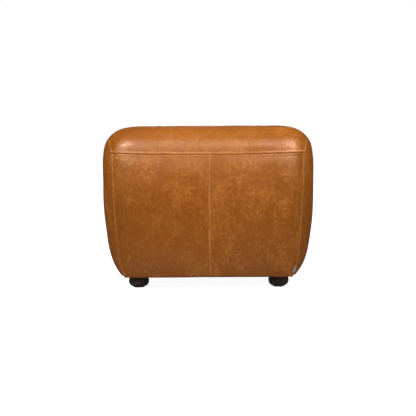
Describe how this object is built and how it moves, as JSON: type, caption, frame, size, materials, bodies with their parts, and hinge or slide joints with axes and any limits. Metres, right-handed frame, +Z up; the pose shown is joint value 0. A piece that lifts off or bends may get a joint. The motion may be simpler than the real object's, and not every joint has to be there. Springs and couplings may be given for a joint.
{
  "type": "leather pouf",
  "caption": "Square upholstered leather pouf with rolled top edges, curved side panels, a sprung wooden carcass and dark turned bun feet.",
  "frame": {"origin": "centre of the footprint, on the floor under the feet", "axes": "+X to the right along the width, +Y to the back, +Z up; the front with the tag faces -Y"},
  "size_m": [0.59, 0.56, 0.45],
  "materials": {
    "cognac_leather": "satin",
    "tag_cloth": "matte",
    "wadding": "matte",
    "firm_foam": "matte",
    "soft_foam": "matte",
    "hessian": "matte",
    "spring_steel": "satin",
    "zinc_steel": "satin",
    "carcass_wood": "matte",
    "hardboard": "matte",
    "dust_cloth": "matte",
    "dark_stained_wood": "gloss",
    "glide_plastic": "matte"
  },
  "bodies": {
    "pouf": {"front_lower_left": "cognac_leather", "front_lower_right": "cognac_leather", "back_lower_left": "cognac_leather", "back_lower_right": "cognac_leather", "front_roll": "cognac_leather", "back_roll": "cognac_leather", "top_strip_1": "cognac_leather", "top_strip_2": "cognac_leather", "top_strip_3": "cognac_leather", "top_strip_4": "cognac_leather", "left_cheek": "cognac_leather", "right_cheek": "cognac_leather", "seam_tag": "tag_cloth", "polyester_wadding": "wadding", "seat_foam_base": "firm_foam", "seat_foam_top": "soft_foam", "front_pad": "soft_foam", "back_pad": "soft_foam", "left_pad": "soft_foam", "right_pad": "soft_foam", "hessian_deck": "hessian", "sinuous_springs": "spring_steel", "spring_clips": "zinc_steel", "clip_nails": "zinc_steel", "block_screws": "zinc_steel", "hem_staples": "zinc_steel", "dust_cover_staples": "zinc_steel", "threaded_inserts": "zinc_steel", "base_rail_front": "carcass_wood", "base_rail_back": "carcass_wood", "base_rail_left": "carcass_wood", "base_rail_right": "carcass_wood", "top_rail_front": "carcass_wood", "top_rail_back": "carcass_wood", "top_rail_left": "carcass_wood", "top_rail_right": "carcass_wood", "corner_post_front_left": "carcass_wood", "corner_post_front_right": "carcass_wood", "corner_post_back_left": "carcass_wood", "corner_post_back_right": "carcass_wood", "base_corner_blocks": "carcass_wood", "top_corner_blocks": "carcass_wood", "frame_dowels": "carcass_wood", "front_board": "hardboard", "back_board": "hardboard", "left_board": "hardboard", "right_board": "hardboard", "dust_cover": "dust_cloth"},
    "foot_front_left": {"bun_foot_front_left": "dark_stained_wood", "hanger_bolt_front_left": "zinc_steel", "glide_front_left": "glide_plastic"},
    "foot_front_right": {"bun_foot_front_right": "dark_stained_wood", "hanger_bolt_front_right": "zinc_steel", "glide_front_right": "glide_plastic"},
    "foot_back_left": {"bun_foot_back_left": "dark_stained_wood", "hanger_bolt_back_left": "zinc_steel", "glide_back_left": "glide_plastic"},
    "foot_back_right": {"bun_foot_back_right": "dark_stained_wood", "hanger_bolt_back_right": "zinc_steel", "glide_back_right": "glide_plastic"}
  },
  "joints": [
    {"name": "foot_front_left_screw", "type": "hinge", "parent": "pouf", "child": "foot_front_left", "pos_m": [-0.196, -0.217, 0], "axis": [0, 0, -1], "range_deg": [0, 360]},
    {"name": "foot_front_right_screw", "type": "hinge", "parent": "pouf", "child": "foot_front_right", "pos_m": [0.196, -0.217, 0], "axis": [0, 0, -1], "range_deg": [0, 360]},
    {"name": "foot_back_left_screw", "type": "hinge", "parent": "pouf", "child": "foot_back_left", "pos_m": [-0.196, 0.217, 0], "axis": [0, 0, -1], "range_deg": [0, 360]},
    {"name": "foot_back_right_screw", "type": "hinge", "parent": "pouf", "child": "foot_back_right", "pos_m": [0.196, 0.217, 0], "axis": [0, 0, -1], "range_deg": [0, 360]}
  ]
}
